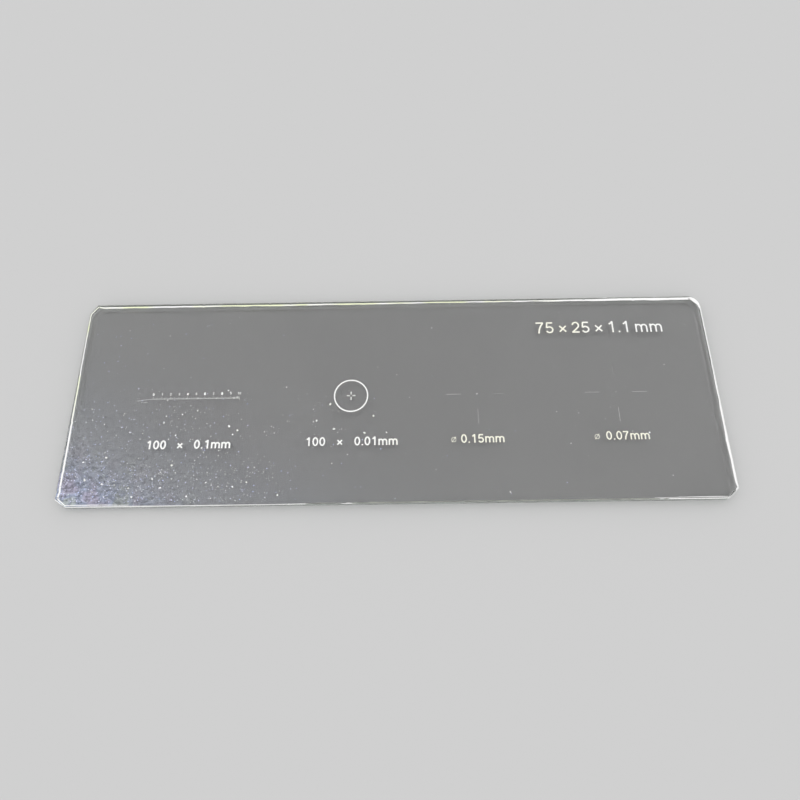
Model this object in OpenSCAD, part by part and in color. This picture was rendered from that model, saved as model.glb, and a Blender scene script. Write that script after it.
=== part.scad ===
// Calibration slide for a microscope: a glass slide with clipped corners and
// ground arrises, which carries a row of deposited marks along its middle line.
// Millimetres. The origin is the middle of the underside, +X runs along the
// slide, +Y towards its far long edge and +Z out of the face with the marks.

/* [Plate] */
// Length of the slide
plate_l = 75; // [62:1:100]
// Width of the slide
plate_w = 25; // [14:0.5:50]
// Thickness of the glass
plate_t = 1.1; // [0.8:0.05:1.6]
// Leg of the 45 degree clip at each corner
corner_clip = 1.2; // [0.6:0.1:3]
// Leg of the 45 degree grind along each arris
arris_grind = 0.15; // [0.05:0.01:0.3]

/* [Marks] */
// Thickness of the film that every mark is made of
film_t = 0.03; // [0.01:0.005:0.05]
// Width of a fine line of film, such as the baseline or a lead line
fine_line = 0.02; // [0.01:0.005:0.06]
// Distance of the row of marks from the middle line, towards the far edge
row_y = 0; // [-3:0.1:3]

/* [Line scale] */
// Length of one division
scale_div = 0.1; // [0.05:0.01:0.12]
// Number of divisions
scale_divs = 100; // [50:10:100]
// Distance from the slide's left end to the scale's zero
scale_inset = 9.35; // [5:0.05:10]
// Distance of the scale's baseline below the row's line
scale_drop = 0.1; // [0:0.05:0.5]
// Width of a division line
scale_tick_w = 0.01; // [0.005:0.005:0.04]
// Height of a plain division line
scale_tick_h = 0.13; // [0.1:0.01:0.4]
// Height added at every fifth line, and once more at every tenth
scale_tick_step = 0.08; // [0.02:0.01:0.2]

/* [Ring and crossed scales] */
// Distance of the ring's centre from the slide's middle, towards the right end
ring_x = -5.1; // [-6:0.1:-4]
// Outer diameter of the ring
ring_d = 4; // [3:0.1:5]
// Width of the ring's line
ring_line = 0.15; // [0.05:0.01:0.3]
// Length of one division of the crossed scales
cross_div = 0.01; // [0.008:0.001:0.02]
// Number of divisions along each crossed scale, end to end
cross_divs = 100; // [60:20:100]
// Length of the open place where the crossed scales would meet
cross_gap = 0.3; // [0.24:0.02:0.5]
// Width of a division line of the crossed scales
cross_tick_w = 0.006; // [0.002:0.001:0.006]
// Length of a plain division line of the crossed scales
cross_tick_h = 0.11; // [0.04:0.01:0.14]
// Length added at every fifth line, and once more at every tenth
cross_tick_step = 0.04; // [0.01:0.01:0.06]

/* [Dot targets] */
// Distance from the slide's right end to the large dot
large_dot_inset = 28; // [26:0.1:28.5]
// Diameter of the large dot
large_dot_d = 0.15; // [0.1:0.01:0.3]
// Distance from the slide's right end to the small dot
small_dot_inset = 11.9; // [8:0.1:16]
// Diameter of the small dot
small_dot_d = 0.07; // [0.03:0.01:0.1]
// Distance from a dot's centre to the near ends of its four lead lines
lead_start = 1.85; // [0.5:0.05:2.5]
// Length of a lead line
lead_l = 1.75; // [0.5:0.05:2]

/* [Hidden] */

glass_colour = [0.53, 0.53, 0.53, 0.6];
mark_colour = "white";

// Every fifth division line is longer, and every tenth longer still
mid_every = 5;
long_every = 10;

scale_l = scale_divs * scale_div;
cross_half_divs = cross_divs / 2;
cross_first_div = ceil(cross_gap / 2 / cross_div);

left_end = -plate_l / 2;
right_end = plate_l / 2;

// Span between two opposite corner clips, measured square to them
clip_span = (plate_l + plate_w - 2 * corner_clip) / sqrt(2);
// A length that outreaches the plate in every direction
reach = plate_l + plate_w;

// How many steps division line i is longer than a plain one
function tick_steps(i) = i % long_every == 0 ? 2 : i % mid_every == 0 ? 1 : 0;

// A long bar of the plate's thickness, with its four long arrises ground at 45 degrees
module ground_bar(width) {
    half_w = width / 2;
    flat_w = half_w - arris_grind;
    section = [
        [-flat_w, 0], [flat_w, 0],
        [half_w, arris_grind], [half_w, plate_t - arris_grind],
        [flat_w, plate_t], [-flat_w, plate_t],
        [-half_w, plate_t - arris_grind], [-half_w, arris_grind]
    ];
    rotate([90, 0, 90])
        translate([0, 0, -reach / 2])
            linear_extrude(reach)
                polygon(section);
}

// The pane that four ground bars share: one along the slide, one across it and
// one along each diagonal, whose edges clip two opposite corners
module glass_plate() {
    color(glass_colour)
        intersection() {
            ground_bar(plate_w);
            rotate([0, 0, 90]) ground_bar(plate_l);
            rotate([0, 0, 45]) ground_bar(clip_span);
            rotate([0, 0, -45]) ground_bar(clip_span);
        }
}

// Film in the shape of the children, on the upper face around a point of the row
module film(x) {
    color(mark_colour)
        translate([x, row_y, plate_t])
            linear_extrude(film_t)
                children();
}

// Flat line from a start point along +X, centred on it across
module stroke(start, length, width) {
    translate([start, -width / 2]) square([length, width]);
}

// Scale whose division lines stand on a baseline
module line_scale() {
    film(left_end + scale_inset)
        translate([0, -scale_drop]) {
            stroke(-scale_tick_w / 2, scale_l + scale_tick_w, fine_line);
            for (i = [0:scale_divs])
                translate([i * scale_div - scale_tick_w / 2, 0])
                    square([scale_tick_w, scale_tick_h + tick_steps(i) * scale_tick_step]);
        }
}

module ring() {
    film(ring_x)
        difference() {
            circle(d = ring_d, $fn = 96);
            circle(d = ring_d - 2 * ring_line, $fn = 96);
        }
}

// One arm of the crossed scales, along +X from the edge of the open place,
// with division lines that stand half to each side of its middle line
module cross_arm() {
    arm_start = cross_first_div * cross_div;
    arm_end = cross_half_divs * cross_div;
    stroke(arm_start, arm_end - arm_start, cross_tick_w);
    for (i = [cross_first_div:cross_half_divs])
        translate([i * cross_div, 0])
            square([cross_tick_w, cross_tick_h + tick_steps(i) * cross_tick_step], center = true);
}

module crossed_scales() {
    film(ring_x)
        for (a = [0:90:270])
            rotate(a) cross_arm();
}

// A dot with four lead lines that point the eye to it
module dot_target(x, dot_d) {
    film(x) {
        circle(d = dot_d, $fn = 32);
        for (a = [0:90:270])
            rotate(a) stroke(lead_start, lead_l, fine_line);
    }
}

module large_dot_target() {
    dot_target(right_end - large_dot_inset, large_dot_d);
}

module small_dot_target() {
    dot_target(right_end - small_dot_inset, small_dot_d);
}

glass_plate();
line_scale();
ring();
crossed_scales();
large_dot_target();
small_dot_target();
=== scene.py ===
"""A glass calibration slide for a microscope, finished around its CAD frame.

The pane is one piece of glass with ground arrises. A row of white film marks runs along
its middle, with numbers that give their sizes, and dust and dried haze lie on the face.
"""

import math
import random
from collections import namedtuple

import bmesh
import bpy
from bpy.props import (
    FloatProperty, FloatVectorProperty, IntProperty, PointerProperty, StringProperty)
from mathutils import Matrix, Vector, noise


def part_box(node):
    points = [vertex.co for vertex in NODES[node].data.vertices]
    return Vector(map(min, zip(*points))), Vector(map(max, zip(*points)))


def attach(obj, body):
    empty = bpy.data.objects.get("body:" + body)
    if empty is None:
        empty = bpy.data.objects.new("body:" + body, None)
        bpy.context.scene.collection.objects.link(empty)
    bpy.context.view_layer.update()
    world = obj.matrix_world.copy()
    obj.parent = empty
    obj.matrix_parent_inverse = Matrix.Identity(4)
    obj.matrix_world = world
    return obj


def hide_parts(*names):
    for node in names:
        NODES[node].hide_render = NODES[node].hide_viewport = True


bl_info = {
    "name": "Calibration Slide",
    "version": (1, 0, 0),
    "blender": (4, 5, 0),
    "location": "View3D > Sidebar > Slide",
    "description": "Finishes a glass calibration slide around its CAD frame",
    "category": "Object",
}

MM = 0.001
BODY = "root"

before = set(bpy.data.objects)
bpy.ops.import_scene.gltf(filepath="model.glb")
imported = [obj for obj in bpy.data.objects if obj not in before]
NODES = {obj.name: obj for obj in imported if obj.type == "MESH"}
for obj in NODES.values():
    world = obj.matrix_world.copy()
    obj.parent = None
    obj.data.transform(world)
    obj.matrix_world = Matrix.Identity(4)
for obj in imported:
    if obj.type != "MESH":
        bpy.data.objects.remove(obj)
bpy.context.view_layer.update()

PLATE_LO, PLATE_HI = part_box("glass_plate")
SCALE_LO, SCALE_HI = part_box("line_scale")
RING_LO, RING_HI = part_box("ring")
LARGE_LO, LARGE_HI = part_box("large_dot_target")
SMALL_LO, SMALL_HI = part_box("small_dot_target")

FACE_Z = PLATE_HI.z
FILM_T = SCALE_HI.z - FACE_Z
# The pane stops this far short of the film, so that the film shows white from below as well
PANE_TOP = FACE_Z - 0.002 * MM
ROW_Y = (RING_LO.y + RING_HI.y) / 2
MARK_NODES = ("line_scale", "ring", "crossed_scales", "large_dot_target", "small_dot_target")

# Soda-lime glass
GLASS_IOR = 1.52

# Sockets of a Mix node that mixes colours
MIX_FACTOR, MIX_A, MIX_B, MIX_RESULT = 0, 6, 7, 2


# ------------ helpers


def linear(hex_colour, alpha=1.0):
    """An sRGB hex colour as linear RGBA."""
    channels = [int(hex_colour[i:i + 2], 16) / 255 for i in (1, 3, 5)]
    linears = [c / 12.92 if c <= 0.04045 else ((c + 0.055) / 1.055) ** 2.4 for c in channels]
    return linears + [alpha]


def ramp(value, start, end):
    """0 at start and before it, 1 at end and past it, straight between."""
    return min(1.0, max(0.0, (value - start) / (end - start)))


def pattern_scale(size):
    """Scale of a noise texture whose features are about size across, in metres."""
    return 1 / size


def add_node(material, kind, inputs=None, **settings):
    """Adds a node. Settings go on the node; inputs go on its sockets, as a value, or as a link
    from a socket or from a node's first output."""
    tree = material.node_tree
    node = tree.nodes.new(kind)
    for name, value in settings.items():
        setattr(node, name, value)
    for name, value in (inputs or {}).items():
        if isinstance(value, bpy.types.Node):
            value = value.outputs[0]
        if isinstance(value, bpy.types.NodeSocket):
            tree.links.new(value, node.inputs[name])
        else:
            node.inputs[name].default_value = value
    return node


def new_material(name):
    """The material of that name, emptied of its nodes."""
    material = bpy.data.materials.get(name)
    if material is None:
        material = bpy.data.materials.new(name)
    material.use_nodes = True
    material.node_tree.nodes.clear()
    return material


def add_object(name, data):
    """A new object in the scene."""
    thing = bpy.data.objects.new(name, data)
    bpy.context.scene.collection.objects.link(thing)
    return thing


def mesh_piece(name, mesh_maker, materials, merge=False):
    """A new piece from a function that fills a bmesh. It rides on the slide. Parts that
    overlap are merged into one closed skin if merge is set."""
    work = bmesh.new()
    mesh_maker(work)
    bmesh.ops.recalc_face_normals(work, faces=work.faces)
    mesh = bpy.data.meshes.new(name)
    work.to_mesh(mesh)
    work.free()
    piece = add_object(name, mesh)
    if merge:
        merge_overlaps(piece)
    for material in materials:
        piece.data.materials.append(material)
    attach(piece, BODY)
    return piece


def add_skin(work, hoops, closed=False):
    """Faces between hoops of vertices that follow each other. The ends are capped, unless the
    last hoop joins the first."""
    pairs = list(zip(hoops, hoops[1:]))
    if closed:
        pairs.append((hoops[-1], hoops[0]))
    for first, second in pairs:
        for index in range(len(first)):
            after = (index + 1) % len(first)
            work.faces.new((first[index], first[after], second[after], second[index]))
    if not closed:
        work.faces.new(hoops[0])
        work.faces.new(list(reversed(hoops[-1])))


def merge_overlaps(piece):
    """Gives the piece one closed skin round all its overlapping parts."""
    nothing = bpy.data.collections.new("nothing")
    union = piece.modifiers.new("union", "BOOLEAN")
    union.operation = "UNION"
    union.solver = "EXACT"
    union.use_self = True
    union.operand_type = "COLLECTION"
    union.collection = nothing
    depsgraph = bpy.context.evaluated_depsgraph_get()
    merged = bpy.data.meshes.new_from_object(piece.evaluated_get(depsgraph))
    piece.modifiers.clear()
    parts = piece.data
    piece.data = merged
    bpy.data.meshes.remove(parts)
    bpy.data.collections.remove(nothing)


# ------------ settings


class GlassSettings(bpy.types.PropertyGroup):
    """Sizes and tone of the glass pane."""

    tone: FloatVectorProperty(
        name="Tone", description="Neutral grey that the glass gives what lies under it",
        default=linear("#BFBFBF"), size=4, min=0, max=1, subtype="COLOR")
    haze: FloatVectorProperty(
        name="Haze", description="Colour of the bloom in the near left corner",
        default=linear("#D6E1FF"), size=4, min=0, max=1, subtype="COLOR")
    corner_clip: FloatProperty(
        name="Corner Clip", description="Usual leg of the clip at a corner",
        default=1.2 * MM, min=0, unit="LENGTH")
    edge_step: FloatProperty(
        name="Edge Step", description="Length of one facet along the ground edges",
        default=0.15 * MM, min=0.05 * MM, unit="LENGTH")
    seed: IntProperty(
        name="Seed", description="Picks the chips and the run of the grind", default=7)


class MarkSettings(bpy.types.PropertyGroup):
    """Colours painted on the film that the marks and numbers are made of: the white stands for a
    bright lamp's reflection in the metal film, and the cream for that reflection's yellowish tint.
    """

    white: FloatVectorProperty(
        name="White", description="Colour of the film",
        default=linear("#FDFDFB"), size=4, min=0, max=1, subtype="COLOR")
    # Painted reflection: the cream is the yellowish tint of the lamp's reflection in the film
    cream: FloatVectorProperty(
        name="Cream", description="Colour of the film where it is thin",
        default=linear("#FCFAEA"), size=4, min=0, max=1, subtype="COLOR")


class NumberSettings(bpy.types.PropertyGroup):
    """What the numbers say, and how high they are."""

    line_scale: StringProperty(
        name="Line Scale", description="Divisions of the line scale", default="100 × 0.1mm")
    crossed_scales: StringProperty(
        name="Crossed Scales", description="Divisions of each crossed scale",
        default="100 × 0.01mm")
    large_dot: StringProperty(
        name="Large Dot", description="Diameter of the large dot", default="⌀ 0.15mm")
    small_dot: StringProperty(
        name="Small Dot", description="Diameter of the small dot", default="⌀ 0.07mm")
    slide: StringProperty(
        name="Slide", description="Size of the slide", default="75 × 25 × 1.1 mm")
    label_height: FloatProperty(
        name="Label Height", description="Height of the figures under the marks",
        default=1.0 * MM, min=0, unit="LENGTH")
    label_stroke: FloatProperty(
        name="Label Stroke", description="Width of a stroke of the figures under the line scale",
        default=0.18 * MM, min=0, unit="LENGTH")
    slide_height: FloatProperty(
        name="Slide Size Height", description="Height of the figures that give the slide's size",
        default=1.5 * MM, min=0, unit="LENGTH")
    slide_stroke: FloatProperty(
        name="Slide Size Stroke",
        description="Width of a stroke of the figures that give the slide's size",
        default=0.18 * MM, min=0, unit="LENGTH")
    scale_height: FloatProperty(
        name="Scale Height", description="Height of the figures over the line scale",
        default=0.28 * MM, min=0, unit="LENGTH")


class DustSettings(bpy.types.PropertyGroup):
    """How much dust and haze lies on the face."""

    specks: IntProperty(name="Specks", description="Number of dust specks", default=540, min=0)
    flakes: IntProperty(
        name="Flakes", description="Number of flakes of dried haze", default=620, min=0)
    seed: IntProperty(name="Seed", description="Picks where each speck lies", default=11)


class StageSettings(bpy.types.PropertyGroup):
    """Floor and light."""

    floor: FloatVectorProperty(
        name="Floor", description="Colour of the floor",
        default=linear("#CDCDCD"), size=4, min=0, max=1, subtype="COLOR")
    level: FloatProperty(
        name="Level",
        description="Strength of all the light, set so that a colour renders about as written",
        default=1.03, min=0)
    sky: FloatProperty(
        name="Sky", description="Share of the light that comes evenly from all round",
        default=0.85, min=0, max=1, subtype="FACTOR")
    lamp_spread: FloatProperty(
        name="Lamp Spread", description="Angle that each soft lamp fills, seen from the slide",
        default=math.radians(90), min=0, subtype="ANGLE")
    lamp_height: FloatProperty(
        name="Lamp Height", description="Angle of each soft lamp above the floor",
        default=math.radians(40), subtype="ANGLE")


# ------------ glass


# Distances to the right and away from the near edge over which the bloom in the near left
# corner falls to about a third
BLOOM_RIGHT = 10 * MM
BLOOM_FAR = 4.8 * MM


def corner_bloom(material, place):
    """1 at the near left corner of the slide, fading to the right and away from the near edge."""
    steps = add_node(material, "ShaderNodeVectorMath", {
        0: place,
        1: (-1 / BLOOM_RIGHT, -1 / BLOOM_FAR, 0),
    }, operation="DOT_PRODUCT")
    from_corner = add_node(material, "ShaderNodeMath", {
        0: steps.outputs["Value"],
        1: PLATE_LO.x / BLOOM_RIGHT + PLATE_LO.y / BLOOM_FAR,
    }, operation="ADD")
    return add_node(material, "ShaderNodeMath", {0: from_corner}, operation="EXPONENT")


def polished_glass(haze_colour):
    """Float glass as drawn, then wiped: clear and mirror smooth. Smears of the cloth soften a
    reflection here and there. A milky bloom of dried cleaner veils the near left corner: bluish
    where it is thick, with lavender and greenish patches, and colourless where it thins out."""
    material = new_material("polished_float_glass")
    place = add_node(material, "ShaderNodeTexCoord").outputs["Object"]
    # Wipe smears run along the slide, about 6 mm wide and three times as long
    wiped = add_node(material, "ShaderNodeMapping", {"Vector": place, "Scale": (0.33, 1, 1)})
    smears = add_node(material, "ShaderNodeTexNoise", {
        "Vector": wiped, "Scale": pattern_scale(6 * MM), "Detail": 3.0})
    roughness = add_node(material, "ShaderNodeMapRange", {
        "Value": smears, "From Min": 0.4, "From Max": 0.7, "To Min": 0.0, "To Max": 0.06})
    # The bloom is mottled by drying spots about 0.35 mm across, drawn out along the slide
    dried = add_node(material, "ShaderNodeMapping", {"Vector": place, "Scale": (0.7, 1, 1)})
    spots = add_node(material, "ShaderNodeTexNoise", {
        "Vector": dried, "Scale": pattern_scale(0.35 * MM), "Detail": 3.0})
    mottle = add_node(material, "ShaderNodeMapRange", {
        "Value": spots, "From Min": 0.35, "From Max": 0.65, "To Min": 0.35, "To Max": 1.65})
    veil = corner_bloom(material, place)
    bloom = add_node(material, "ShaderNodeMath", {0: veil, 1: mottle}, operation="MULTIPLY")
    clearness = add_node(material, "ShaderNodeMapRange", {
        "Value": bloom, "To Min": 1.0, "To Max": 0.5})
    # Lavender patches are about 2 mm across, and greenish ones lie between them
    patches = add_node(material, "ShaderNodeTexNoise", {
        "Vector": place, "Scale": pattern_scale(2 * MM)})
    lavender = add_node(material, "ShaderNodeMapRange", {
        "Value": patches, "From Min": 0.5, "From Max": 0.62})
    greenish = add_node(material, "ShaderNodeMapRange", {
        "Value": patches, "From Min": 0.44, "From Max": 0.38})
    cool = add_node(material, "ShaderNodeMix", {
        MIX_FACTOR: lavender, MIX_A: haze_colour, MIX_B: linear("#E4DFFA")}, data_type="RGBA")
    patchy = add_node(material, "ShaderNodeMix", {
        MIX_FACTOR: greenish, MIX_A: cool.outputs[MIX_RESULT], MIX_B: linear("#E0EAEC"),
    }, data_type="RGBA")
    # The patches show where the bloom is thick
    thick = add_node(material, "ShaderNodeMapRange", {
        "Value": veil, "From Min": 0.12, "From Max": 0.5})
    veiled = add_node(material, "ShaderNodeMix", {
        MIX_FACTOR: thick, MIX_A: linear("#F6F9FF"), MIX_B: patchy.outputs[MIX_RESULT],
    }, data_type="RGBA")
    present = add_node(material, "ShaderNodeMapRange", {
        "Value": veil, "From Min": 0.0, "From Max": 0.08})
    colour = add_node(material, "ShaderNodeMix", {
        MIX_FACTOR: present, MIX_A: linear("#FFFFFF"), MIX_B: veiled.outputs[MIX_RESULT],
    }, data_type="RGBA")
    shader = add_node(material, "ShaderNodeBsdfPrincipled", {
        "Base Color": colour.outputs[MIX_RESULT],
        "Roughness": roughness,
        "IOR": GLASS_IOR,
        "Transmission Weight": clearness,
    })
    add_node(material, "ShaderNodeOutputMaterial", {"Surface": shader})
    return material


# Leg of the far corners' clips, as the tone's painted lightening by the edges follows them
TONE_CLIP = 1.15 * MM


def edge_distance(material, x, y):
    """How far a point is from the left, right or far edge or from a far corner's clip, in
    metres."""
    off_middle = add_node(material, "ShaderNodeMath", {0: x}, operation="ABSOLUTE")
    along = add_node(material, "ShaderNodeMath", {
        0: PLATE_HI.x, 1: off_middle}, operation="SUBTRACT")
    across = add_node(material, "ShaderNodeMath", {0: PLATE_HI.y, 1: y}, operation="SUBTRACT")
    both = add_node(material, "ShaderNodeMath", {0: along, 1: across}, operation="ADD")
    reach = PLATE_HI.x
    from_clip = add_node(material, "ShaderNodeMapRange", {
        "Value": both,
        "From Min": TONE_CLIP,
        "From Max": TONE_CLIP + reach,
        "To Min": 0.0,
        "To Max": math.sqrt(0.5) * reach,
    })
    nearer = add_node(material, "ShaderNodeMath", {0: along, 1: across}, operation="MINIMUM")
    return add_node(material, "ShaderNodeMath", {0: nearer, 1: from_clip}, operation="MINIMUM")


def toned_glass(tone):
    """The glass's lower face. A neutral grey tone at this face makes the whole pane read
    mid grey, while whatever lies on its upper face stays bright. By the white edges the tone is
    painted lighter, a painted light that cancels the shade the white line casts under the glass."""
    material = new_material("grey_toned_glass")
    place = add_node(material, "ShaderNodeTexCoord").outputs["Object"]
    parts = add_node(material, "ShaderNodeSeparateXYZ", {"Vector": place})
    x, y = parts.outputs["X"], parts.outputs["Y"]
    by_edge = add_node(material, "ShaderNodeMapRange", {
        "Value": edge_distance(material, x, y), "From Min": 0.9 * MM, "From Max": 0.5 * MM})
    # The tone's painted lightening follows the white line's shade: broad round the right end,
    # but less so about 4 mm on the far side of the middle
    by_end = add_node(material, "ShaderNodeMapRange", {
        "Value": x, "From Min": 25 * MM, "From Max": 36 * MM, "To Min": 0.33, "To Max": 0.62})
    past_narrow = add_node(material, "ShaderNodeMath", {0: y, 1: 4 * MM}, operation="SUBTRACT")
    off_narrow = add_node(material, "ShaderNodeMath", {0: past_narrow}, operation="ABSOLUTE")
    by_narrow = add_node(material, "ShaderNodeMapRange", {
        "Value": off_narrow,
        "From Min": 3 * MM,
        "From Max": 8 * MM,
        "To Min": 0.55,
        "To Max": 1.0,
    })
    shade = add_node(material, "ShaderNodeMath", {0: by_end, 1: by_narrow}, operation="MULTIPLY")
    # Painted light: this share of the tone is mixed towards white, to cancel the edges' shade
    painted_lightening = add_node(material, "ShaderNodeMath", {0: by_edge, 1: shade}, operation="MULTIPLY")
    colour = add_node(material, "ShaderNodeMix", {
        MIX_FACTOR: painted_lightening, MIX_A: tone, MIX_B: linear("#FFFFFF")}, data_type="RGBA")
    shader = add_node(material, "ShaderNodeBsdfPrincipled", {
        "Base Color": colour.outputs[MIX_RESULT],
        "Roughness": 0.0,
        "IOR": GLASS_IOR,
        "Transmission Weight": 1.0,
    })
    add_node(material, "ShaderNodeOutputMaterial", {"Surface": shader})
    return material


def cut_glass():
    """Scored and broken glass edge, rubbed on a stone: half clear and half milky, with the
    upright ripples that the break leaves and the faint green of glass seen edge on."""
    material = new_material("stoned_glass_edge")
    place = add_node(material, "ShaderNodeTexCoord").outputs["Object"]
    # Ripples stand upright, about 0.4 mm apart along the edge
    upright = add_node(material, "ShaderNodeMapping", {"Vector": place, "Scale": (1, 1, 0.15)})
    ripples = add_node(material, "ShaderNodeTexNoise", {
        "Vector": upright, "Scale": pattern_scale(0.4 * MM), "Detail": 1.0})
    rippled = add_node(material, "ShaderNodeBump", {
        "Height": ripples, "Distance": 0.01 * MM, "Strength": 1.0})
    # The stone caught some places more than others, every 2 mm or so
    rubbed = add_node(material, "ShaderNodeMapping", {"Vector": place, "Scale": (1, 1, 0.5)})
    stoned = add_node(material, "ShaderNodeTexNoise", {
        "Vector": rubbed, "Scale": pattern_scale(2 * MM), "Detail": 3.0})
    clearness = add_node(material, "ShaderNodeMapRange", {
        "Value": stoned, "From Min": 0.35, "From Max": 0.65, "To Min": 0.8, "To Max": 0.6})
    shader = add_node(material, "ShaderNodeBsdfPrincipled", {
        "Base Color": linear("#E2EEE4"),
        "Roughness": 0.25,
        "IOR": GLASS_IOR,
        "Transmission Weight": clearness,
        "Normal": rippled,
    })
    add_node(material, "ShaderNodeOutputMaterial", {"Surface": shader})
    return material


def satin_glass():
    """Arris that the wheel only brushed: half clear, half milky, so it reads as a dim line."""
    material = new_material("satin_glass_arris")
    place = add_node(material, "ShaderNodeTexCoord").outputs["Object"]
    # Brushed and missed places follow each other every 0.8 mm
    brushed = add_node(material, "ShaderNodeTexNoise", {
        "Vector": place, "Scale": pattern_scale(0.8 * MM)})
    clearness = add_node(material, "ShaderNodeMapRange", {
        "Value": brushed, "From Min": 0.35, "From Max": 0.65, "To Min": 1.0, "To Max": 0.7})
    shader = add_node(material, "ShaderNodeBsdfPrincipled", {
        "Base Color": linear("#F6FAEE"),
        "Roughness": 0.4,
        "IOR": GLASS_IOR,
        "Transmission Weight": clearness,
    })
    add_node(material, "ShaderNodeOutputMaterial", {"Surface": shader})
    return material


def ground_glass():
    """Arris ground on a fine wheel: the torn surface scatters nearly all light, so it shows
    as a frosty white line. It is laid along the stretches where the edges shine white, so part of
    that white is a painted highlight. Along the far and left edges, where it is thin, the glass
    under it gives it a pale yellow-green cast in places."""
    material = new_material("ground_glass_arris")
    place = add_node(material, "ShaderNodeTexCoord").outputs["Object"]
    parts = add_node(material, "ShaderNodeSeparateXYZ", {"Vector": place})
    far_side = add_node(material, "ShaderNodeMapRange", {
        "Value": parts.outputs["Y"], "From Min": -4 * MM, "From Max": 4 * MM})
    left_part = add_node(material, "ShaderNodeMapRange", {
        "Value": parts.outputs["X"], "From Min": 22 * MM, "From Max": 16 * MM})
    thin = add_node(material, "ShaderNodeMath", {
        0: far_side, 1: left_part}, operation="MULTIPLY")
    # The cast comes and goes along the edge every 4 mm or so
    changes = add_node(material, "ShaderNodeTexNoise", {
        "Vector": place, "Scale": pattern_scale(4 * MM)})
    stretches = add_node(material, "ShaderNodeMapRange", {
        "Value": changes, "From Min": 0.42, "From Max": 0.56})
    cast = add_node(material, "ShaderNodeMath", {0: thin, 1: stretches}, operation="MULTIPLY")
    colour = add_node(material, "ShaderNodeMix", {
        MIX_FACTOR: cast, MIX_A: linear("#FEFEFD"), MIX_B: linear("#F6FCD6")}, data_type="RGBA")
    # Grit leaves pits of 0.03 mm, drawn four times as coarse so that they show
    pits = add_node(material, "ShaderNodeTexNoise", {
        "Vector": place, "Scale": pattern_scale(0.12 * MM)})
    pitted = add_node(material, "ShaderNodeBump", {
        "Height": pits, "Distance": 0.01 * MM, "Strength": 1.0})
    shader = add_node(material, "ShaderNodeBsdfPrincipled", {
        "Base Color": colour.outputs[MIX_RESULT],
        "Roughness": 0.6,
        "IOR": GLASS_IOR,
        "Normal": pitted,
    })
    add_node(material, "ShaderNodeOutputMaterial", {"Surface": shader})
    return material


EDGES = ("near", "near_right", "right", "far_right", "far", "far_left", "left", "near_left")
TOP_FACE, UNDERSIDE, CUT_EDGE, SATIN_ARRIS, GROUND_ARRIS = range(5)

# How one place of the edge was ground. The bevel is the leg of the upper arris along the face
# and the drop its leg down the side. Inside it comes a clear rim, then a white line on the
# face: a painted highlight where the edge shines white. White is the share of the upper arris
# that is frosted white, partly real frost and partly painted highlight, and lower the leg of
# the lower arris. All but the share are in millimetres.
Ground = namedtuple("Ground", "bevel drop rim line white lower", defaults=(0.12,))
# Least width of the rim and of the line, so that their facets don't fold up, and the width
# under which a line stays as clear as the face, in millimetres
NARROWEST = 0.01
LEAST_LINE = 0.03
# Over how many facets to each side one grind goes over into the next
BLEND_REACH = 4

# Two short stretches of the near edge painted white as glints, in millimetres from the
# middle: a frosted dash, and a frosted arris with a white line on the face
NEAR_DASH_GLINT = (-6.3, -4.8)
NEAR_LIPPED_GLINT = (28.2, 29.1)


def between(first, second, share):
    """A grind part of the way from the first to the second."""
    return Ground(*(a + (b - a) * share for a, b in zip(first, second)))


def how_ground(edge, x, y):
    """The grind at a place of an edge, in millimetres from the slide's middle. It was done by
    hand: coarse in some stretches, light in others. Its white frost and white line follow where
    the edges shine white, so they are partly painted highlights."""
    if edge == "near":
        corner = Ground(0.05, 0.5, 0.1, 0.07, 1.2)
        coarse = Ground(0.05, 0.5, 0.04, 0.01, 1.2)
        thinning = Ground(0.03, 0.3, 0.04, 0.01, 1.2)
        light = Ground(0.12, 0.14, 0.01, 0.01, 0.0)
        lipped_glint = Ground(0.08, 0.1, 0.1, 0.06, 1.1)
        # Painted highlights: the dash and the lipped stretch stand for glints on the near edge
        if NEAR_DASH_GLINT[0] < x < NEAR_DASH_GLINT[1]:
            return thinning
        if x > 0:
            at_glint = NEAR_LIPPED_GLINT[0] < x < NEAR_LIPPED_GLINT[1]
            return lipped_glint if at_glint else between(light, lipped_glint, ramp(x, 28.5, 31.5))
        if x > -13:
            return between(thinning, light, ramp(x, -13, -6))
        if x > -28:
            return between(coarse, thinning, ramp(x, -28, -13))
        return between(corner, coarse, ramp(x, -32, -28))
    if edge == "far":
        light = Ground(0.12, 0.12, 0.22, 0.19, 0.0)
        faint = Ground(0.12, 0.12, 0.19, 0.15, 0.0)
        coarse = Ground(0.14, 0.14, 0.09, 0.3, 0.2)
        if x < 18:
            return between(light, faint, ramp(x, -10, 8))
        return between(faint, coarse, ramp(x, 18, 28))
    if edge == "left":
        near_end = Ground(0.12, 0.12, 0.22, 0.24, 0.0)
        far_end = Ground(0.12, 0.12, 0.02, 0.13, 0.0)
        return between(near_end, far_end, ramp(y, -11, 8))
    if edge == "right":
        near_end = Ground(0.14, 0.18, 0.01, 0.21, 1.1)
        far_end = Ground(0.12, 0.12, 0.01, 0.09, 1.1)
        return between(near_end, far_end, ramp(y, -6, 4))
    if edge == "far_right":
        return Ground(0.16, 0.2, 0.01, 0.52, 1.2)
    if edge == "near_left":
        return Ground(0.1, 0.12, 0.1, 0.1, 0.6)
    if edge == "far_left":
        return Ground(0.1, 0.12, 0.08, 0.12, 0.2)
    return Ground(0.07, 0.12, 0.01, 0.02, 1.1)


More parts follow.
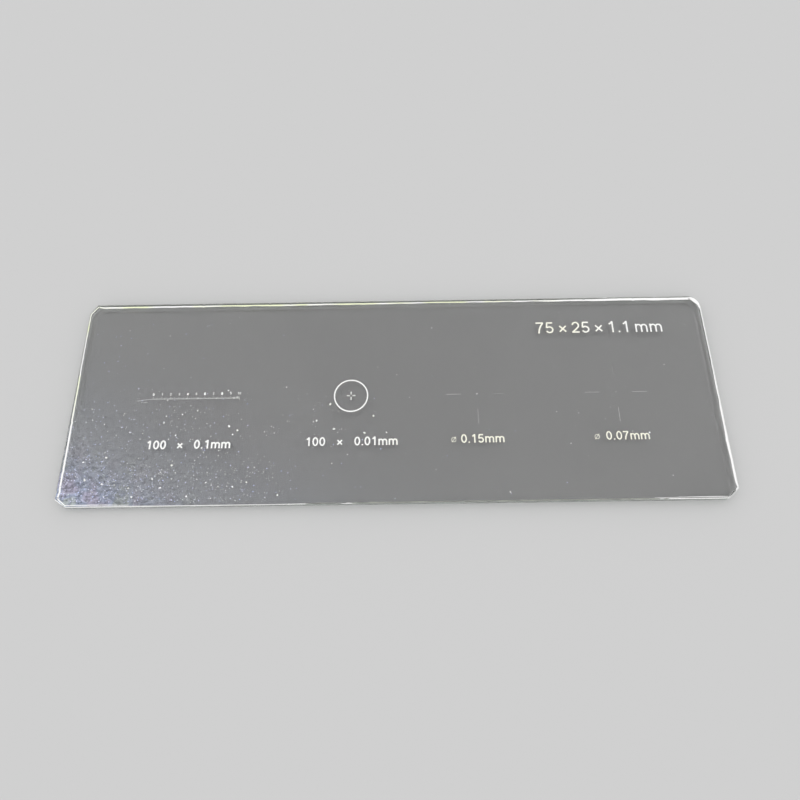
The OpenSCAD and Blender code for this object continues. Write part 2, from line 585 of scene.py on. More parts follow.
class Grind:
    """The uneven run of one slide's ground edges."""

    def __init__(self, seed, run):
        self.dice = random.Random(seed)
        self.offset = self.dice.uniform(0, 100)
        self.chips = []
        place = 0.0
        while place < run:
            place += self.dice.uniform(2, 9) * MM
            half = self.dice.uniform(0.1, 0.3) * MM
            self.chips.append((place, half, self.dice.uniform(0.01, 0.06)))

    def wander(self, along, size):
        """A smooth wander between -1 and 1 along the edge, with swings of that size."""
        return noise.noise(Vector((along / size, self.offset, size / MM)))

    def chipped(self, along):
        """Depth that a chip adds to the arris here, in millimetres."""
        depths = (
            depth * (1 - abs(along - place) / half)
            for place, half, depth in self.chips if abs(along - place) < half)
        return max(depths, default=0.0)

    def frosted(self, share, along):
        """Whether the arris is frosted white here. The share decides how long the dashes are."""
        return share > 0 and 0.5 + self.wander(along, 0.9 * MM) < 1.3 * share - 0.15

    def wavered(self, ground, along):
        """The grind with the waver of a hand-held slide, and the chips."""
        slow = 1 + 0.2 * self.wander(along, 4 * MM) + 0.1 * self.wander(along, 0.7 * MM)
        quick = 1 + 0.3 * self.wander(along + 1, 1.5 * MM)
        chip = self.chipped(along)
        return ground._replace(
            bevel=ground.bevel * slow + chip,
            drop=ground.drop * slow + chip,
            line=ground.line * quick,
            lower=ground.lower * slow)


# Legs of the clip at each corner, as shares of the usual leg: first along the long edge, then
# along the short one. The corners were clipped by hand.
NEAR_LEFT_CLIP = (1.0, 0.7)
NEAR_RIGHT_CLIP = (1.1, 0.95)
FAR_RIGHT_CLIP = (0.9, 1.0)
FAR_LEFT_CLIP = (0.7, 1.05)

# How far the wheel left a clip standing out in a curve, in millimetres
ROUNDING = {"far_right": 0.27}


def outline_corners(clip):
    """The slide's eight corner points, anticlockwise from the left end of the near edge."""
    left, near = PLATE_LO.x, PLATE_LO.y
    right, far = PLATE_HI.x, PLATE_HI.y
    points = [
        (left + clip * NEAR_LEFT_CLIP[0], near), (right - clip * NEAR_RIGHT_CLIP[0], near),
        (right, near + clip * NEAR_RIGHT_CLIP[1]), (right, far - clip * FAR_RIGHT_CLIP[1]),
        (right - clip * FAR_RIGHT_CLIP[0], far), (left + clip * FAR_LEFT_CLIP[0], far),
        (left, far - clip * FAR_LEFT_CLIP[1]), (left, near + clip * NEAR_LEFT_CLIP[1]),
    ]
    return [Vector(point) for point in points]


def outward(start, end):
    """The direction out of the slide, square to an edge that runs from start to end."""
    run = (end - start).normalized()
    return Vector((run.y, -run.x))


def edge_stations(settings):
    """Places round the outline, each with its way out of the slide and its grind."""
    corners = outline_corners(settings.corner_clip)
    stations = []
    for index, edge in enumerate(EDGES):
        start = corners[index]
        end = corners[(index + 1) % len(corners)]
        before = outward(corners[index - 1], start)
        here = outward(start, end)
        steps = max(1, round((end - start).length / settings.edge_step))
        # The curve's rise is share * (1 - share), which comes to a quarter in the middle
        swell = 4 * ROUNDING.get(edge, 0.0) * MM
        for step in range(steps):
            share = step / steps
            point = start.lerp(end, share) + here * swell * share * (1 - share)
            out = here if step else (before + here) / (1 + before.dot(here))
            stations.append((point, out, how_ground(edge, point.x / MM, point.y / MM)))
    return stations


def blended(grounds, reach):
    """The grinds, each averaged with its neighbours up to reach places away."""
    count = len(grounds)
    window = 2 * reach + 1
    return [
        Ground(*(sum(values) / window for values in zip(
            *(grounds[(index + step) % count] for step in range(-reach, reach + 1)))))
        for index in range(count)
    ]


def fill_pane(work, settings):
    """The pane as one closed mesh: two faces, cut sides, and arrises ground unevenly."""
    stations = edge_stations(settings)
    grind = Grind(settings.seed, len(stations) * settings.edge_step)
    grounds = blended([ground for _, _, ground in stations], BLEND_REACH)
    # From the underside's rim up to the upper face's
    rings = [[] for _ in range(6)]
    for index, (point, out, _) in enumerate(stations):
        ground = grind.wavered(grounds[index], index * settings.edge_step)
        rim_in = ground.bevel + max(ground.rim, NARROWEST)
        line_in = rim_in + max(ground.line, NARROWEST)
        insets = (ground.lower, 0, 0, ground.bevel, rim_in, line_in)
        side_top = PANE_TOP - ground.drop * MM
        heights = (0, ground.lower * MM, side_top, PANE_TOP, PANE_TOP, PANE_TOP)
        for ring, inset, height in zip(rings, insets, heights):
            place = point - out * inset * MM
            ring.append(work.verts.new((place.x, place.y, height)))
    work.faces.new(rings[-1]).material_index = TOP_FACE
    work.faces.new(list(reversed(rings[0]))).material_index = UNDERSIDE
    for index, ground in enumerate(grounds):
        after = (index + 1) % len(grounds)
        along = index * settings.edge_step
        finishes = (
            UNDERSIDE,
            CUT_EDGE,
            GROUND_ARRIS if grind.frosted(ground.white, along) else SATIN_ARRIS,
            TOP_FACE,
            GROUND_ARRIS if ground.line > LEAST_LINE else TOP_FACE,
        )
        for low, high, finish in zip(rings[:-1], rings[1:], finishes):
            face = work.faces.new((low[index], low[after], high[after], high[index]))
            face.material_index = finish


class SLIDE_OT_glass_pane(bpy.types.Operator):
    """Makes the glass pane with its ground edges"""

    bl_idname = "slide.glass_pane"
    bl_label = "Glass Pane"

    def execute(self, context):
        settings = context.scene.slide_glass
        materials = [
            polished_glass(settings.haze), toned_glass(settings.tone),
            cut_glass(), satin_glass(), ground_glass()]
        pane = mesh_piece(
            "slide_pane", lambda work: fill_pane(work, settings), materials)
        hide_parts("glass_plate")
        return {"FINISHED"}


# ------------ marks and numbers


def white_film(settings):
    """The marks' metal film, laid on through a mask, painted matt and almost pure white: a
    painted reflection of a bright lamp in the film. It is painted creamier in patches, the
    reflection's yellowish tint, and has the finest grain."""
    material = new_material("glint_painted_film")
    place = add_node(material, "ShaderNodeTexCoord").outputs["Object"]
    parts = add_node(material, "ShaderNodeSeparateXYZ", {"Vector": place})
    x, y = parts.outputs["X"], parts.outputs["Y"]
    # The painted reflection turns creamy right of the ring, and white again in the far right
    # corner
    past_ring = add_node(material, "ShaderNodeMapRange", {
        "Value": x, "From Min": -4 * MM, "From Max": 6 * MM})
    to_corner = add_node(material, "ShaderNodeMath", {0: x, 1: y}, operation="ADD")
    before_corner = add_node(material, "ShaderNodeMapRange", {
        "Value": to_corner, "From Min": 36 * MM, "From Max": 31 * MM})
    thin = add_node(material, "ShaderNodeMath", {
        0: past_ring, 1: before_corner}, operation="MULTIPLY")
    # The painted reflection's cream comes in patches about 5 mm across
    patches = add_node(material, "ShaderNodeTexNoise", {
        "Vector": place, "Scale": pattern_scale(5 * MM), "Detail": 1.0})
    patchy = add_node(material, "ShaderNodeMapRange", {
        "Value": patches, "From Min": 0.35, "From Max": 0.5, "To Min": 0.4, "To Max": 1.0})
    painted_glint_cream = add_node(material, "ShaderNodeMath", {0: thin, 1: patchy}, operation="MULTIPLY")
    colour = add_node(material, "ShaderNodeMix", {
        MIX_FACTOR: painted_glint_cream, MIX_A: settings.white, MIX_B: settings.cream}, data_type="RGBA")
    # Grain of the film is finer than 0.01 mm, drawn at 0.06 mm so that it shows
    grain = add_node(material, "ShaderNodeTexNoise", {
        "Vector": place, "Scale": pattern_scale(0.06 * MM)})
    roughness = add_node(material, "ShaderNodeMapRange", {
        "Value": grain, "From Min": 0.3, "From Max": 0.7, "To Min": 0.5, "To Max": 0.7})
    grained = add_node(material, "ShaderNodeBump", {
        "Height": grain, "Distance": 0.004 * MM, "Strength": 1.0})
    shader = add_node(material, "ShaderNodeBsdfPrincipled", {
        "Base Color": colour.outputs[MIX_RESULT],
        "Roughness": roughness,
        "Normal": grained,
    })
    add_node(material, "ShaderNodeOutputMaterial", {"Surface": shader})
    return material


def fine_film(settings):
    """The same film in lines too fine to come out evenly, painted the same white that stands for
    the lamp's reflection: every millimetre or so it is thin enough for the glass to show
    through. It is faintest right of the large dot and at the far side of both dots."""
    material = new_material("glint_painted_fine_line")
    place = add_node(material, "ShaderNodeTexCoord").outputs["Object"]
    parts = add_node(material, "ShaderNodeSeparateXYZ", {"Vector": place})
    x, y = parts.outputs["X"], parts.outputs["Y"]
    # Full and thin places follow each other every 1 mm
    patches = add_node(material, "ShaderNodeTexNoise", {
        "Vector": place, "Scale": pattern_scale(1 * MM)})
    patchy = add_node(material, "ShaderNodeMapRange", {
        "Value": patches, "From Min": 0.38, "From Max": 0.58, "To Min": 0.75, "To Max": 1.05})
    # Past the large dot the cover falls to about a third, and it comes back towards the right
    to_dot = add_node(material, "ShaderNodeMapRange", {
        "Value": x, "From Min": 10 * MM, "From Max": 11 * MM, "To Min": 1.0, "To Max": 0.35})
    past_dot = add_node(material, "ShaderNodeMapRange", {
        "Value": x, "From Min": 18 * MM, "From Max": 29 * MM, "To Min": 0.0, "To Max": 0.65})
    along = add_node(material, "ShaderNodeMath", {0: to_dot, 1: past_dot}, operation="ADD")
    across = add_node(material, "ShaderNodeMapRange", {
        "Value": y, "From Min": 1 * MM, "From Max": 2 * MM, "To Min": 1.0, "To Max": 0.55})
    laid = add_node(material, "ShaderNodeMath", {0: along, 1: across}, operation="MULTIPLY")
    cover = add_node(material, "ShaderNodeMath", {0: patchy, 1: laid}, operation="MULTIPLY")
    roughness = add_node(material, "ShaderNodeMapRange", {
        "Value": cover, "From Min": 0.2, "From Max": 0.9, "To Min": 0.0, "To Max": 0.6})
    clearness = add_node(material, "ShaderNodeMapRange", {
        "Value": cover, "From Min": 0.05, "From Max": 1.0, "To Min": 1.0, "To Max": 0.0})
    shader = add_node(material, "ShaderNodeBsdfPrincipled", {
        "Base Color": settings.white,
        "Roughness": roughness,
        "IOR": GLASS_IOR,
        "Transmission Weight": clearness,
    })
    add_node(material, "ShaderNodeOutputMaterial", {"Surface": shader})
    return material


class SLIDE_OT_film_marks(bpy.types.Operator):
    """Gives the scales, the ring and the dot targets their white film"""

    bl_idname = "slide.film_marks"
    bl_label = "Film Marks"

    def execute(self, context):
        settings = context.scene.slide_marks
        full, fine = white_film(settings), fine_film(settings)
        for name in MARK_NODES:
            for place in NODES[name].material_slots:
                place.material = full if name in ("ring", "crossed_scales") else fine
        return {"FINISHED"}


# Figures are drawn with strokes of even width, on a height of 1. A stroke is its middle line,
# whether it closes on itself, and its width as a share of the usual one.

# Heights at which the lowest and the highest level strokes lie
LOW = 0.075
HIGH = 1 - LOW
# The diameter sign's strokes are finer than the figures'
THIN = 0.36


def arc(x, y, wide, high, start, end):
    """Points on an oval arc, from one angle to another in degrees, at most 15 degrees apart."""
    steps = max(2, math.ceil(abs(end - start) / 15))
    angles = [math.radians(start + (end - start) * step / steps) for step in range(steps + 1)]
    return [(x + wide * math.cos(angle), y + high * math.sin(angle)) for angle in angles]


def line(*points, weight=1.0):
    """A stroke that runs through the points."""
    return list(points), False, weight


def oval(x, y, wide, high, weight=1.0):
    """A stroke that closes on itself in an oval."""
    return arc(x, y, wide, high, 0, 360)[:-1], True, weight


def half_turn(strokes, width, height):
    """The strokes turned upside down within their width and height."""
    return [
        ([(width - x, height - y) for x, y in points], closed, weight)
        for points, closed, weight in strokes]


DIGIT_WIDTH = 0.78
SIX = [oval(0.395, 0.315, 0.25, 0.25), line(*arc(0.43, 0.5, 0.3, 0.435, 50, 185))]

# Each figure's strokes, from 0 to 9
DIGITS = (
    [oval(0.39, 0.5, 0.25, 0.435)],
    [line((0.46, 0), (0.46, 1)), line((0.19, 0.745), (0.33, 0.82), (0.44, 0.95))],
    [line(*arc(0.38, 0.675, 0.245, 0.26, 170, -35), (0.4, 0.34), (0.13, 0.08)),
     line((0.07, LOW), (0.66, LOW))],
    [line(*arc(0.375, 0.715, 0.215, 0.22, 160, -90)),
     line(*arc(0.38, 0.28, 0.25, 0.215, 90, -165))],
    [line((0.49, 0), (0.49, 1)), line((0.47, 0.95), (0.1, 0.31)),
     line((0.05, 0.29), (0.68, 0.29))],
    [line((0.17, HIGH), (0.64, HIGH)), line((0.205, 0.95), (0.145, 0.47)),
     line(*arc(0.375, 0.315, 0.26, 0.25, 140, -155))],
    SIX,
    [line((0.08, HIGH), (0.67, HIGH)),
     line((0.645, 0.91), (0.45, 0.63), (0.33, 0.32), (0.28, 0))],
    [oval(0.385, 0.735, 0.205, 0.2), oval(0.385, 0.285, 0.255, 0.22)],
    half_turn(SIX, DIGIT_WIDTH, 1),
)

# The width and strokes of each figure and sign
FIGURES = {str(digit): (DIGIT_WIDTH, strokes) for digit, strokes in enumerate(DIGITS)}
FIGURES.update({
    " ": (0.42, []),
    ".": (0.36, [line((0.18, 0), (0.18, 0.14))]),
    "m": (1.16, [
        line((0.155, 0), (0.155, 0.725)),
        line(*arc(0.3675, 0.44, 0.2125, 0.22, 180, 0), (0.58, 0)),
        line(*arc(0.7925, 0.44, 0.2125, 0.22, 180, 0), (1.005, 0))]),
    "×": (0.8, [line((0.14, 0.12), (0.66, 0.64)), line((0.14, 0.64), (0.66, 0.12))]),
    "⌀": (0.66, [
        oval(0.31, 0.38, 0.25, 0.26, THIN), line((0.05, 0.06), (0.57, 0.72), weight=THIN)]),
})


def add_stroke(work, points, closed, width):
    """A flat bar of film along a middle line, with mitred bends. All are in metres."""
    count = len(points)
    hoops = []
    for index, point in enumerate(points):
        ahead = points[(index + 1) % count] if closed or index + 1 < count else None
        behind = points[index - 1] if closed or index > 0 else None
        way_in = (point - behind).normalized() if behind else (ahead - point).normalized()
        way_out = (ahead - point).normalized() if ahead else way_in
        side = Vector((-way_in.y - way_out.y, way_in.x + way_out.x)) / (1 + way_in.dot(way_out))
        left = point + side * width / 2
        right = point - side * width / 2
        top = FACE_Z + FILM_T
        corners = ((left, FACE_Z), (right, FACE_Z), (right, top), (left, top))
        hoops.append([work.verts.new((corner.x, corner.y, height)) for corner, height in corners])
    add_skin(work, hoops, closed)


# Blank at each side of a figure
BLANK = 0.07


def text_width(text):
    """Width of a text at a height of 1, without the blank at its two ends."""
    return sum(FIGURES[figure][0] for figure in text) - 2 * BLANK


def add_figures(work, text, left, base, height, stroke, length=None):
    """Adds figures of film to a bmesh, from a left end and on a base line, with strokes of a
    width. The blanks between words grow or shrink so that the text fills the length."""
    growth = (length - text_width(text) * height) / text.count(" ") if length else 0.0
    pen = left - BLANK * height
    for figure in text:
        width, strokes = FIGURES[figure]
        for points, closed, weight in strokes:
            places = [Vector((pen + x * height, base + y * height)) for x, y in points]
            add_stroke(work, places, closed, weight * stroke)
        pen += width * height + (growth if figure == " " else 0.0)


# Strokes of the numbers over the line scale, in millimetres: most are thin, a few clogged
THIN_STROKE = 0.035
CLOGGED_STROKES = {0: 0.07, 4: 0.11, 6: 0.09, 8: 0.09}
# How far these numbers stand from the row's line, and the first label's foot from it
SCALE_NUMBER_RISE = 0.36 * MM
LABEL_DROP = 6.1 * MM


def centre_x(low, high):
    """The middle of a box along the slide."""
    return (low.x + high.x) / 2


class SLIDE_OT_numbers(bpy.types.Operator):
    """Puts plain numbers over the line scale, under each mark and in the far right corner"""

    bl_idname = "slide.numbers"
    bl_label = "Numbers"

    def execute(self, context):
        settings = context.scene.slide_numbers
        film = white_film(context.scene.slide_marks)
        # Each label's name, text, left end and length
        labels = (
            ("line_scale_label", settings.line_scale, SCALE_LO.x, 9.5 * MM),
            ("crossed_scales_label", settings.crossed_scales,
                centre_x(RING_LO, RING_HI) - 5.05 * MM, 10.4 * MM),
            ("large_dot_label", settings.large_dot,
                centre_x(LARGE_LO, LARGE_HI) - 3.15 * MM, 5.95 * MM),
            ("small_dot_label", settings.small_dot,
                centre_x(SMALL_LO, SMALL_HI) - 3.1 * MM, 6.15 * MM),
        )
        # The mask was set a little askew, so each label sits higher than the one before, and its
        # film came out narrower
        base = ROW_Y - LABEL_DROP
        stroke = settings.label_stroke
        for name, text, left, length in labels:
            mesh_piece(
                name,
                lambda work: add_figures(
                    work, text, left, base, settings.label_height, stroke, length),
                [film], merge=True)
            base += 0.12 * MM
            stroke *= 0.92
        # The size stands in the far right corner: its left end, its foot and its length
        corner_left, corner_base = PLATE_HI.x - 20.4 * MM, PLATE_HI.y - 4.85 * MM
        corner_length = 15.2 * MM
        mesh_piece(
            "size_lettering",
            lambda work: add_figures(
                work, settings.slide, corner_left, corner_base,
                settings.slide_height, settings.slide_stroke, corner_length),
            [film], merge=True)
        mesh_piece(
            "scale_numbers", lambda work: self.number_scale(work, settings),
            [film], merge=True)
        return {"FINISHED"}

    def number_scale(self, work, settings):
        """A number over every tenth division of the line scale. They are so small that the film
        came out thin in most and clogged a few."""
        last = 10
        run = SCALE_HI.x - SCALE_LO.x
        for number in range(last + 1):
            text = str(number)
            left = SCALE_LO.x + run * number / last - text_width(text) * settings.scale_height / 2
            stroke = CLOGGED_STROKES.get(number, THIN_STROKE)
            add_figures(
                work, text, left, ROW_Y + SCALE_NUMBER_RISE, settings.scale_height, stroke * MM)


# ------------ dust


def settled_dust():
    """Lint and mineral dust: matt and almost white, and it reads as bright points."""
    material = new_material("settled_dust")
    place = add_node(material, "ShaderNodeTexCoord").outputs["Object"]
    # Lint and mineral specks take turns every 1.5 mm or so
    kinds = add_node(material, "ShaderNodeTexNoise", {
        "Vector": place, "Scale": pattern_scale(1.5 * MM), "Detail": 1.0})
    mineral = add_node(material, "ShaderNodeMapRange", {
        "Value": kinds, "From Min": 0.4, "From Max": 0.65})
    colour = add_node(material, "ShaderNodeMix", {
        MIX_FACTOR: mineral, MIX_A: linear("#FCFCFE"), MIX_B: linear("#F2F3EC"),
    }, data_type="RGBA")
    shader = add_node(material, "ShaderNodeBsdfPrincipled", {
        "Base Color": colour.outputs[MIX_RESULT],
        "Roughness": 0.9,
    })
    add_node(material, "ShaderNodeOutputMaterial", {"Surface": shader})
    return material


def dried_haze():
    """Residue of a dried drop: thin films that scatter blue more than red, so they show as a
    cool mottled bloom, bluer in some flakes and lavender or greenish in others."""
    material = new_material("dried_haze")
    place = add_node(material, "ShaderNodeTexCoord").outputs["Object"]
    # The tint changes from flake to flake, every 0.35 mm
    tint = add_node(material, "ShaderNodeTexNoise", {
        "Vector": place, "Scale": pattern_scale(0.35 * MM), "Detail": 1.0})
    lavender = add_node(material, "ShaderNodeMapRange", {
        "Value": tint, "From Min": 0.35, "From Max": 0.52})
    greenish = add_node(material, "ShaderNodeMapRange", {
        "Value": tint, "From Min": 0.55, "From Max": 0.7})
    cool = add_node(material, "ShaderNodeMix", {
        MIX_FACTOR: lavender, MIX_A: linear("#C4D0F8"), MIX_B: linear("#DAD8F2"),
    }, data_type="RGBA")
    colour = add_node(material, "ShaderNodeMix", {
        MIX_FACTOR: greenish, MIX_A: cool.outputs[MIX_RESULT], MIX_B: linear("#D6E2DE"),
    }, data_type="RGBA")
    shader = add_node(material, "ShaderNodeBsdfPrincipled", {
        "Base Color": colour.outputs[MIX_RESULT],
        "Roughness": 0.45,
    })
    add_node(material, "ShaderNodeOutputMaterial", {"Surface": shader})
    return material


def add_flake(work, dice, x, y, width, height):
    """A flat crumb with five to seven uneven sides, lying on the face. Its crown is smaller."""
    crown_share = 0.6
    sides = dice.randint(5, 7)
    long_way = dice.uniform(0, math.tau)
    flat = dice.uniform(0.55, 1.0)
    base = []
    crown = []
    for side in range(sides):
        turn = math.tau * side / sides
        reach = width / 2 * dice.uniform(0.7, 1.1)
        across = Vector((math.cos(turn) * reach, math.sin(turn) * reach * flat))
        across.rotate(Matrix.Rotation(long_way, 2))
        base.append(work.verts.new((x + across.x, y + across.y, FACE_Z)))
        crown.append(work.verts.new((
            x + across.x * crown_share, y + across.y * crown_share, FACE_Z + height)))
    add_skin(work, [base, crown])


def hill(x, y, at_x, at_y, wide, deep):
    """A smooth hill of height 1 around a point."""
    return math.exp(-((x - at_x) / wide) ** 2 - ((y - at_y) / deep) ** 2)


def dust_share(x, y):
    """How thick the dust lies at a point of the face, in millimetres from its middle, as a share
    of 1: thickest along the near edge's left third, some around the line scale and the ring,
    hardly any on the right."""
    near_left = (1 - ramp(x, -16, -12)) * (1 - 0.6 * ramp(y, -8.5, -7))
    near_left *= 1 - 0.85 * ramp(y, -5, -1)
    near_left *= 1 - 0.75 * ramp(x, -31, -34)
    by_scale = 0.5 * hill(x, y, -24, -2.8, 8, 3)
    by_ring = 0.42 * hill(x, y, -7, -3, 5.5, 3.5)
    on_right = 0.16 * hill(x, y, 22, -1.5, 8, 4)
    stray = 0.05 * (1 - 0.6 * ramp(y, 3, 6)) * (1 - ramp(y, -9, -11))
    return max(near_left, by_scale, by_ring, on_right, stray, 0.01)


def haze_share(x, y):
    """How thick the dried haze lies there: it fades away from the near left corner."""
    right = math.exp((PLATE_LO.x - x * MM) / BLOOM_RIGHT)
    return right * math.exp((PLATE_LO.y - y * MM) / BLOOM_FAR)


def scattered(dice, share, count):
    """Points on the face, as thick as share says."""
    margin = 0.4 * MM
    kept_clip = 2 * MM
    found = 0
    while found < count:
        x = dice.uniform(PLATE_LO.x + margin, PLATE_HI.x - margin)
        y = dice.uniform(PLATE_LO.y + margin, PLATE_HI.y - margin)
        corner = abs(x) - PLATE_HI.x + abs(y) - PLATE_HI.y + kept_clip
        if corner < 0 and dice.random() < share(x / MM, y / MM):
            found += 1
            yield x, y


# Shares of the dust specks that are faint, and that have clumped
FAINT_SHARE = 0.82
CLUMP_SHARE = 0.2
# Least and greatest width of each kind of speck or flake, in millimetres
FAINT_WIDTH = (0.06, 0.11)
BROAD_WIDTH = (0.11, 0.18)
LARGE_WIDTH = (0.26, 0.38)
CRUMB_WIDTH = (0.04, 0.09)
HAZE_WIDTH = (0.07, 0.18)


def fill_specks(work, settings):
    """Dust specks: most are faint crumbs, some of them drifted together in clumps, and a few
    are large enough to stand out."""
    dice = random.Random(settings.seed)
    for x, y in scattered(dice, dust_share, settings.specks):
        widths = FAINT_WIDTH if dice.random() < FAINT_SHARE else BROAD_WIDTH
        width = dice.uniform(*widths) * MM
        add_flake(work, dice, x, y, width, min(0.4 * width, FILM_T))
        if dice.random() < CLUMP_SHARE:
            for crumb in range(dice.randint(1, 3)):
                turn = dice.uniform(0, math.tau)
                away = dice.uniform(0.2, 0.5) * MM
                add_flake(
                    work, dice, x + away * math.cos(turn), y + away * math.sin(turn),
                    dice.uniform(*CRUMB_WIDTH) * MM, 0.02 * MM)
    for x, y in LARGE_SPECKS:
        add_flake(work, dice, x * MM, y * MM, dice.uniform(*LARGE_WIDTH) * MM, 0.9 * FILM_T)
    for x, y, width in SCALE_CRUMBS:
        add_flake(work, dice, SCALE_LO.x + x * MM, ROW_Y + y * MM, width * MM, 0.8 * FILM_T)


def fill_haze(work, settings):
    """Flakes of dried haze, thin and wide."""
    dice = random.Random(settings.seed + 1)
    for x, y in scattered(dice, haze_share, settings.flakes):
        add_flake(work, dice, x, y, dice.uniform(*HAZE_WIDTH) * MM, 0.2 * FILM_T)


# Fibres at the two ends of the line scale, each as three points from the row's line and the
# scale's zero, in millimetres
FIBRES = (
    ((-1.85, -0.3), (-1.0, -0.17), (0.0, -0.08)),
    ((-1.35, -0.42), (-1.0, -0.5), (-0.6, -0.42)),
    ((9.7, 0.06), (10.0, 0.0), (10.12, -0.35)),
)
FIBRE_WIDTH = 0.028 * MM

# Crumbs that stick round the right end of the line scale and along its baseline: place from
# the same point and width, in millimetres
SCALE_CRUMBS = (
    (9.42, -0.08, 0.26), (9.8, 0.04, 0.18), (8.7, 0.88, 0.24), (8.98, 0.66, 0.2),
    (10.06, 0.62, 0.13), (1.3, -0.09, 0.11), (3.6, -0.08, 0.12), (3.95, -0.08, 0.13),
    (4.3, -0.08, 0.11), (7.4, -0.08, 0.12), (7.9, -0.08, 0.12))

# Where the largest specks lie, in millimetres from the slide's middle
LARGE_SPECKS = (
    (-34.5, -9.5), (-35, -7.5), (-32.5, -7), (-32.5, -10), (-29, -11.5), (-29.5, -10.5),
    (-27, -9.5), (-25, -8), (-26, -10.5), (-23, -11.5), (-21, -10), (-18, -10.5), (-16.5, -10),
    (-13, -11.5), (-24.5, -2), (-26.5, -3), (-25, -4.5), (-18.5, -4.5), (-18, -4), (-19, -3.5),
    (-9, -3), (-7.5, -1), (-7, -4), (-3.5, -4.5), (-2.5, -2.5), (-1, -4.5), (12.5, -11.5),
    (28.7, -4.95))


# A fibre's section: across it and up from the face, in fibre widths
FIBRE_SECTION = ((-0.5, 0), (0.5, 0), (0.25, 0.8), (-0.25, 0.8))
FIBRE_STEPS = 12


def add_fibre(work, points):
    """A fine fibre that lies along a smooth line through three points."""
    start, middle, end = [Vector((SCALE_LO.x + x * MM, ROW_Y + y * MM)) for x, y in points]
    bend = 2 * middle - (start + end) / 2
    track = []
    for step in range(FIBRE_STEPS + 1):
        t = step / FIBRE_STEPS
        track.append(start * (1 - t) ** 2 + bend * 2 * t * (1 - t) + end * t ** 2)
    hoops = []
    for index, point in enumerate(track):
        run = track[min(index + 1, FIBRE_STEPS)] - track[max(index - 1, 0)]
        side = Vector((-run.y, run.x)).normalized() * FIBRE_WIDTH
        hoops.append([
            work.verts.new((
                point.x + side.x * across, point.y + side.y * across, FACE_Z + FIBRE_WIDTH * up))
            for across, up in FIBRE_SECTION])
    add_skin(work, hoops)


def fill_fibres(work):
    """All the fibres by the line scale."""
    for points in FIBRES:
        add_fibre(work, points)


class SLIDE_OT_dust(bpy.types.Operator):
    """Lays dust specks, fibres and dried haze on the face"""

    bl_idname = "slide.dust"
    bl_label = "Dust and Haze"

    def execute(self, context):
        settings = context.scene.slide_dust
        dust = settled_dust()
        mesh_piece("dust_specks", lambda work: fill_specks(work, settings), [dust])
        mesh_piece("lint_fibres", fill_fibres, [dust])
        haze = dried_haze()
        mesh_piece("haze_flakes", lambda work: fill_haze(work, settings), [haze])
        return {"FINISHED"}


# ------------ stage


# Half the floor's side, in metres, so wide that its edge lies on the horizon
FLOOR_HALF = 10.0
# The slide rests this far above the floor, so that the two faces don't meet
FLOOR_GAP = 0.05 * MM
LAMPS = ("lamp_right", "lamp_far", "lamp_left", "lamp_near")

# The camera's lens and place, in millimetres, and its turn, tip and roll, in degrees
CAMERA_LENS = 26.11
CAMERA_PLACE = (0.98, -23.67, 64.17)
CAMERA_TURNS = ((1.01, "Z"), (20.08, "X"), (-1.79, "Z"))


def painted_floor(colour):
    """Pale matt studio paint, even and without a sheen."""
    material = new_material("pale_studio_floor")
    shader = add_node(material, "ShaderNodeBsdfPrincipled", {
        "Base Color": colour,
        "Roughness": 0.9,
        "Specular IOR Level": 0.1,
    })
    add_node(material, "ShaderNodeOutputMaterial", {"Surface": shader})
    return material


def soft_lamp(name, turn, settings):
    """A wide soft lamp, far off, that doesn't mirror in the glass. Together the lamps give a
    level face the light that the sky leaves out."""
    share = settings.level * (1 - settings.sky) / len(LAMPS)
    lamp = bpy.data.lights.new(name, "SUN")
    lamp.angle = settings.lamp_spread
    lamp.energy = share * math.pi / math.sin(settings.lamp_height)
    holder = add_object(name, lamp)
    level_reach = math.cos(settings.lamp_height)
    away = Vector((
        level_reach * math.cos(turn), level_reach * math.sin(turn),
        math.sin(settings.lamp_height)))
    holder.location = away
    holder.rotation_euler = away.to_track_quat("Z", "Y").to_euler()
    holder.visible_glossy = False


def slide_camera():
    """A camera close over the slide, tipped and turned a little, as the slide is usually shown."""
    camera = bpy.data.cameras.new("slide_camera")
    camera.sensor_width = 36
    camera.lens = CAMERA_LENS
    camera.clip_start = 1 * MM
    camera.clip_end = 10
    holder = add_object("slide_camera", camera)
    place = Matrix.Translation([value * MM for value in CAMERA_PLACE])
    for angle, axis in CAMERA_TURNS:
        place = place @ Matrix.Rotation(math.radians(angle), 4, axis)
    holder.matrix_world = place
    bpy.context.scene.camera = holder


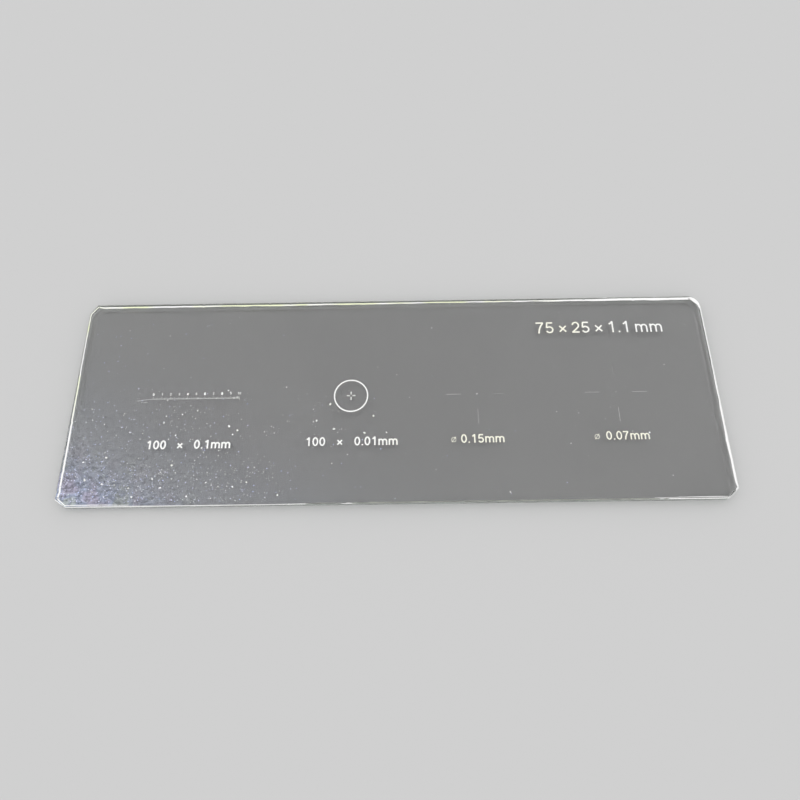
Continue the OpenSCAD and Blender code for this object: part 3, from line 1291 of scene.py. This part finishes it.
class SLIDE_OT_stage(bpy.types.Operator):
    """Sets up the floor, the soft light and the camera"""

    bl_idname = "slide.stage"
    bl_label = "Stage"

    def execute(self, context):
        settings = context.scene.slide_stage
        mesh = bpy.data.meshes.new("floor")
        corners = [
            (x * FLOOR_HALF, y * FLOOR_HALF, PLATE_LO.z - FLOOR_GAP)
            for x, y in ((-1, -1), (1, -1), (1, 1), (-1, 1))]
        mesh.from_pydata(corners, [], [(0, 1, 2, 3)])
        mesh.materials.append(painted_floor(settings.floor))
        floor = add_object("floor", mesh)
        for index, name in enumerate(LAMPS):
            soft_lamp(name, index * math.pi / 2, settings)
        world = bpy.data.worlds.new("even_sky")
        world.use_nodes = True
        background = world.node_tree.nodes["Background"]
        background.inputs["Color"].default_value = linear("#FFFFFF")
        background.inputs["Strength"].default_value = settings.level * settings.sky
        context.scene.world = world
        context.scene.view_settings.view_transform = "Standard"
        slide_camera()
        return {"FINISHED"}


# ------------ add-on


SETTINGS = {
    "slide_glass": GlassSettings,
    "slide_marks": MarkSettings,
    "slide_numbers": NumberSettings,
    "slide_dust": DustSettings,
    "slide_stage": StageSettings,
}
OPERATORS = (
    SLIDE_OT_glass_pane,
    SLIDE_OT_film_marks,
    SLIDE_OT_numbers,
    SLIDE_OT_dust,
    SLIDE_OT_stage,
)


class SLIDE_PT_panel(bpy.types.Panel):
    """Lists the slide's settings, each group with the button for its step"""

    bl_idname = "SLIDE_PT_panel"
    bl_label = "Calibration Slide"
    bl_space_type = "VIEW_3D"
    bl_region_type = "UI"
    bl_category = "Slide"

    def draw(self, context):
        layout = self.layout
        for (name, settings), operator in zip(SETTINGS.items(), OPERATORS):
            box = layout.box()
            for prop in settings.__annotations__:
                box.prop(getattr(context.scene, name), prop)
            box.operator(operator.bl_idname)


CLASSES = (*SETTINGS.values(), *OPERATORS, SLIDE_PT_panel)


def register():
    for cls in CLASSES:
        bpy.utils.register_class(cls)
    for name, settings in SETTINGS.items():
        setattr(bpy.types.Scene, name, PointerProperty(type=settings))


def unregister():
    for name in SETTINGS:
        delattr(bpy.types.Scene, name)
    for cls in reversed(CLASSES):
        bpy.utils.unregister_class(cls)


def main():
    register()
    bpy.ops.slide.glass_pane()
    bpy.ops.slide.film_marks()
    bpy.ops.slide.numbers()
    bpy.ops.slide.dust()
    bpy.ops.slide.stage()


if __name__ == "__main__":
    main()
